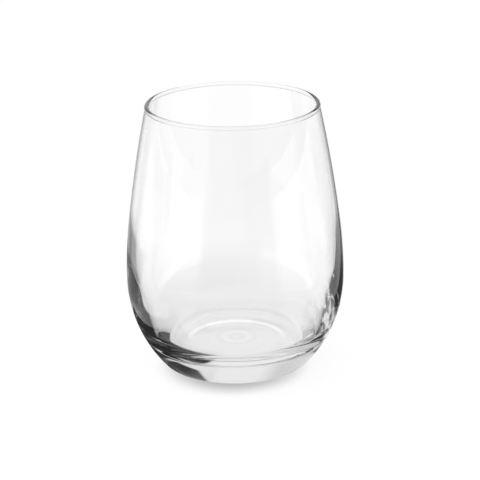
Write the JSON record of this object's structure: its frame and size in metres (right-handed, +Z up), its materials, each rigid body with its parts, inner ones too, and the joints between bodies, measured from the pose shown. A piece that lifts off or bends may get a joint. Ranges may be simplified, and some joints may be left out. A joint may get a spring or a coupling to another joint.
{
  "type": "stemless wine glass",
  "caption": "Clear stemless wine glass: a rounded bowl that narrows to a beaded rim and stands on a heavy, slightly hollowed base.",
  "frame": {"origin": "middle of the flat ring that the glass stands on, at table level", "axes": "+Z up along the glass's axis, from the base to the mouth; X and Y are any two level directions"},
  "size_m": [0.09, 0.09, 0.11],
  "materials": {
    "clear_glass": "clear, fire-polished"
  },
  "bodies": {
    "root": {"glass": "clear_glass"}
  },
  "joints": []
}
